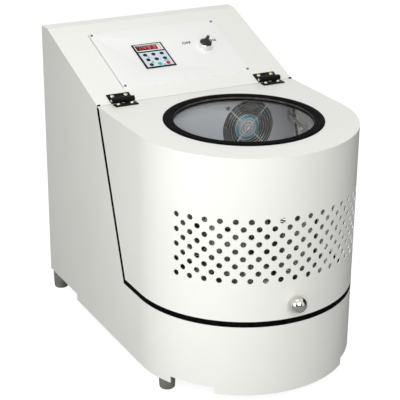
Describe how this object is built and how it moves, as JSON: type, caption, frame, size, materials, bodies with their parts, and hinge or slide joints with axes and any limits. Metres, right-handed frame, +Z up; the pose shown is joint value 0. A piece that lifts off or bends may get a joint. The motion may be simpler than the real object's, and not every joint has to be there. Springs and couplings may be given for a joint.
{
  "type": "planetary ball mill",
  "caption": "Bench planetary ball mill: round-fronted sheet cabinet, hinged hood with a window, sloping keypad panel, and a belt-driven turntable that spins clamped grinding jars.",
  "frame": {"origin": "on the floor, under the middle of the bounding box", "axes": "+X to the machine's right hand seen from the front, +Y to the back, +Z up"},
  "size_m": [0.47, 0.7782, 0.637],
  "materials": {
    "white_paint": "smooth powder coat",
    "grey_paint": "satin paint",
    "frame_paint": "primer",
    "motor_paint": "painted casting",
    "rubber": "matte",
    "black_plastic": "fine texture",
    "hinge_black": "black coat",
    "steel": "machined",
    "stainless": "turned",
    "chrome": "polished",
    "table_steel": "turned",
    "iron": "machined",
    "glass": "clear",
    "screw_brass": "zinc yellow",
    "collar_silver": "silver",
    "key_navy": "glossy",
    "key_teal": "glossy",
    "key_red": "glossy"
  },
  "bodies": {
    "cabinet": {"cabinet_shell": "white_paint", "rear_panel": "white_paint", "base_frame": "frame_paint", "feet": "chrome", "chamber_wall": "grey_paint", "chamber_floor": "grey_paint", "rim_seal": "rubber", "control_plate": "white_paint", "inverter": "black_plastic", "switch_body": "collar_silver", "fan_frame": "black_plastic", "fan_guard": "chrome", "motor_housing": "motor_paint", "bearing_housing": "iron", "main_bearings": "steel", "sun_gear": "steel", "drive_belts": "rubber", "hinge_leaves_cabinet": "hinge_black", "fasteners": "screw_brass", "power_inlet": "black_plastic"},
    "lid": {"lid_shell": "white_paint", "window_glass": "glass", "window_seal": "rubber", "lid_knob": "chrome", "hinge_leaves_lid": "hinge_black", "hinge_screws_lid": "screw_brass"},
    "gas_tube": {"gas_cylinder": "hinge_black"},
    "gas_piston": {"gas_rod": "chrome"},
    "fan_wheel": {"fan_rotor": "black_plastic"},
    "selector": {"selector_knob": "black_plastic"},
    "motor_spindle": {"motor_rotor": "steel"},
    "turntable_group": {"turntable": "table_steel", "main_shaft": "steel", "driven_pulley": "iron", "planet_bearings": "steel"},
    "station_1": {"jar_holder_1": "steel", "grinding_jar_1": "stainless"},
    "pad_1": {"clamp_pad_1": "steel"},
    "screw_1": {"clamp_screw_1": "black_plastic"},
    "station_2": {"jar_holder_2": "steel", "grinding_jar_2": "stainless"},
    "pad_2": {"clamp_pad_2": "steel"},
    "screw_2": {"clamp_screw_2": "black_plastic"},
    "station_3": {"jar_holder_3": "steel", "grinding_jar_3": "stainless"},
    "pad_3": {"clamp_pad_3": "steel"},
    "screw_3": {"clamp_screw_3": "black_plastic"},
    "station_4": {"jar_holder_4": "steel", "grinding_jar_4": "stainless"},
    "pad_4": {"clamp_pad_4": "steel"},
    "screw_4": {"clamp_screw_4": "black_plastic"},
    "button_1": {"key_1": "key_navy"},
    "button_2": {"key_2": "key_navy"},
    "button_3": {"key_3": "key_navy"},
    "button_4": {"key_4": "key_navy"},
    "button_5": {"key_5": "key_navy"},
    "button_6": {"key_6": "key_navy"},
    "button_7": {"key_7": "key_navy"},
    "button_8": {"key_8": "key_teal"},
    "button_9": {"key_9": "key_red"}
  },
  "joints": [
    {"name": "lid_hinge", "type": "hinge", "parent": "cabinet", "child": "lid", "pos_m": [0, 0.08245, 0.544], "axis": [-1, 0, 0], "range_deg": [0, 60]},
    {"name": "gas_tube_pivot", "type": "hinge", "parent": "cabinet", "child": "gas_tube", "pos_m": [0.222, 0.20012, 0.49574], "axis": [-1, 0, 0], "range_deg": [0, 30]},
    {"name": "gas_rod_pivot", "type": "hinge", "parent": "lid", "child": "gas_piston", "pos_m": [0.222, 0.00515, 0.443], "axis": [1, 0, 0], "range_deg": [0, 30]},
    {"name": "fan_spin", "type": "hinge", "parent": "cabinet", "child": "fan_wheel", "pos_m": [0.114, 0.08015, 0.444], "axis": [0, 1, 0], "continuous": true},
    {"name": "selector_turn", "type": "hinge", "parent": "cabinet", "child": "selector", "pos_m": [0.09, 0.21926, 0.59864], "axis": [0, -0.3484, 0.9373], "range_deg": [0, 90]},
    {"name": "turntable_spin", "type": "hinge", "parent": "cabinet", "child": "turntable_group", "pos_m": [0, -0.11985, 0.212], "axis": [0, 0, 1], "continuous": true},
    {"name": "motor_spin", "type": "hinge", "parent": "cabinet", "child": "motor_spindle", "pos_m": [0, 0.21015, 0.1], "axis": [0, 0, 1], "continuous": true},
    {"name": "jar_spin_1", "type": "hinge", "parent": "turntable_group", "child": "station_1", "pos_m": [0.07955, -0.0403, 0.24], "axis": [0, 0, 1], "continuous": true},
    {"name": "pad_lift_1", "type": "slide", "parent": "station_1", "child": "pad_1", "axis": [0, 0, 1], "range_m": [0, 0.006]},
    {"name": "screw_turn_1", "type": "hinge", "parent": "pad_1", "child": "screw_1", "pos_m": [0.07955, -0.0403, 0.36], "axis": [0, 0, 1], "range_deg": [0, 1080]},
    {"name": "jar_spin_2", "type": "hinge", "parent": "turntable_group", "child": "station_2", "pos_m": [-0.07955, -0.0403, 0.24], "axis": [0, 0, 1], "continuous": true},
    {"name": "pad_lift_2", "type": "slide", "parent": "station_2", "child": "pad_2", "axis": [0, 0, 1], "range_m": [0, 0.006]},
    {"name": "screw_turn_2", "type": "hinge", "parent": "pad_2", "child": "screw_2", "pos_m": [-0.07955, -0.0403, 0.36], "axis": [0, 0, 1], "range_deg": [0, 1080]},
    {"name": "jar_spin_3", "type": "hinge", "parent": "turntable_group", "child": "station_3", "pos_m": [-0.07955, -0.1994, 0.24], "axis": [0, 0, 1], "continuous": true},
    {"name": "pad_lift_3", "type": "slide", "parent": "station_3", "child": "pad_3", "axis": [0, 0, 1], "range_m": [0, 0.006]},
    {"name": "screw_turn_3", "type": "hinge", "parent": "pad_3", "child": "screw_3", "pos_m": [-0.07955, -0.1994, 0.36], "axis": [0, 0, 1], "range_deg": [0, 1080]},
    {"name": "jar_spin_4", "type": "hinge", "parent": "turntable_group", "child": "station_4", "pos_m": [0.07955, -0.1994, 0.24], "axis": [0, 0, 1], "continuous": true},
    {"name": "pad_lift_4", "type": "slide", "parent": "station_4", "child": "pad_4", "axis": [0, 0, 1], "range_m": [0, 0.006]},
    {"name": "screw_turn_4", "type": "hinge", "parent": "pad_4", "child": "screw_4", "pos_m": [0.07955, -0.1994, 0.36], "axis": [0, 0, 1], "range_deg": [0, 1080]},
    {"name": "key_press_1", "type": "slide", "parent": "cabinet", "child": "button_1", "axis": [0, 0.3484, -0.9373], "range_m": [0, 0.0008], "stiffness_N_per_m": 300},
    {"name": "key_press_2", "type": "slide", "parent": "cabinet", "child": "button_2", "axis": [0, 0.3484, -0.9373], "range_m": [0, 0.0008], "stiffness_N_per_m": 300},
    {"name": "key_press_3", "type": "slide", "parent": "cabinet", "child": "button_3", "axis": [0, 0.3484, -0.9373], "range_m": [0, 0.0008], "stiffness_N_per_m": 300},
    {"name": "key_press_4", "type": "slide", "parent": "cabinet", "child": "button_4", "axis": [0, 0.3484, -0.9373], "range_m": [0, 0.0008], "stiffness_N_per_m": 300},
    {"name": "key_press_5", "type": "slide", "parent": "cabinet", "child": "button_5", "axis": [0, 0.3484, -0.9373], "range_m": [0, 0.0008], "stiffness_N_per_m": 300},
    {"name": "key_press_6", "type": "slide", "parent": "cabinet", "child": "button_6", "axis": [0, 0.3484, -0.9373], "range_m": [0, 0.0008], "stiffness_N_per_m": 300},
    {"name": "key_press_7", "type": "slide", "parent": "cabinet", "child": "button_7", "axis": [0, 0.3484, -0.9373], "range_m": [0, 0.0008], "stiffness_N_per_m": 300},
    {"name": "key_press_8", "type": "slide", "parent": "cabinet", "child": "button_8", "axis": [0, 0.3484, -0.9373], "range_m": [0, 0.0008], "stiffness_N_per_m": 300},
    {"name": "key_press_9", "type": "slide", "parent": "cabinet", "child": "button_9", "axis": [0, 0.3484, -0.9373], "range_m": [0, 0.0008], "stiffness_N_per_m": 300}
  ],
  "couplings": [
    {"joint": "gas_tube_pivot", "follows": "lid_hinge", "ratio": 0.5},
    {"joint": "gas_rod_pivot", "follows": "lid_hinge", "ratio": 0.5},
    {"joint": "motor_spin", "follows": "turntable_spin", "ratio": 2.7027},
    {"joint": "jar_spin_1", "follows": "turntable_spin", "ratio": 2},
    {"joint": "pad_lift_1", "follows": "screw_turn_1", "m_per_rad": 0.00031831},
    {"joint": "jar_spin_2", "follows": "turntable_spin", "ratio": 2},
    {"joint": "pad_lift_2", "follows": "screw_turn_2", "m_per_rad": 0.00031831},
    {"joint": "jar_spin_3", "follows": "turntable_spin", "ratio": 2},
    {"joint": "pad_lift_3", "follows": "screw_turn_3", "m_per_rad": 0.00031831},
    {"joint": "jar_spin_4", "follows": "turntable_spin", "ratio": 2},
    {"joint": "pad_lift_4", "follows": "screw_turn_4", "m_per_rad": 0.00031831}
  ]
}
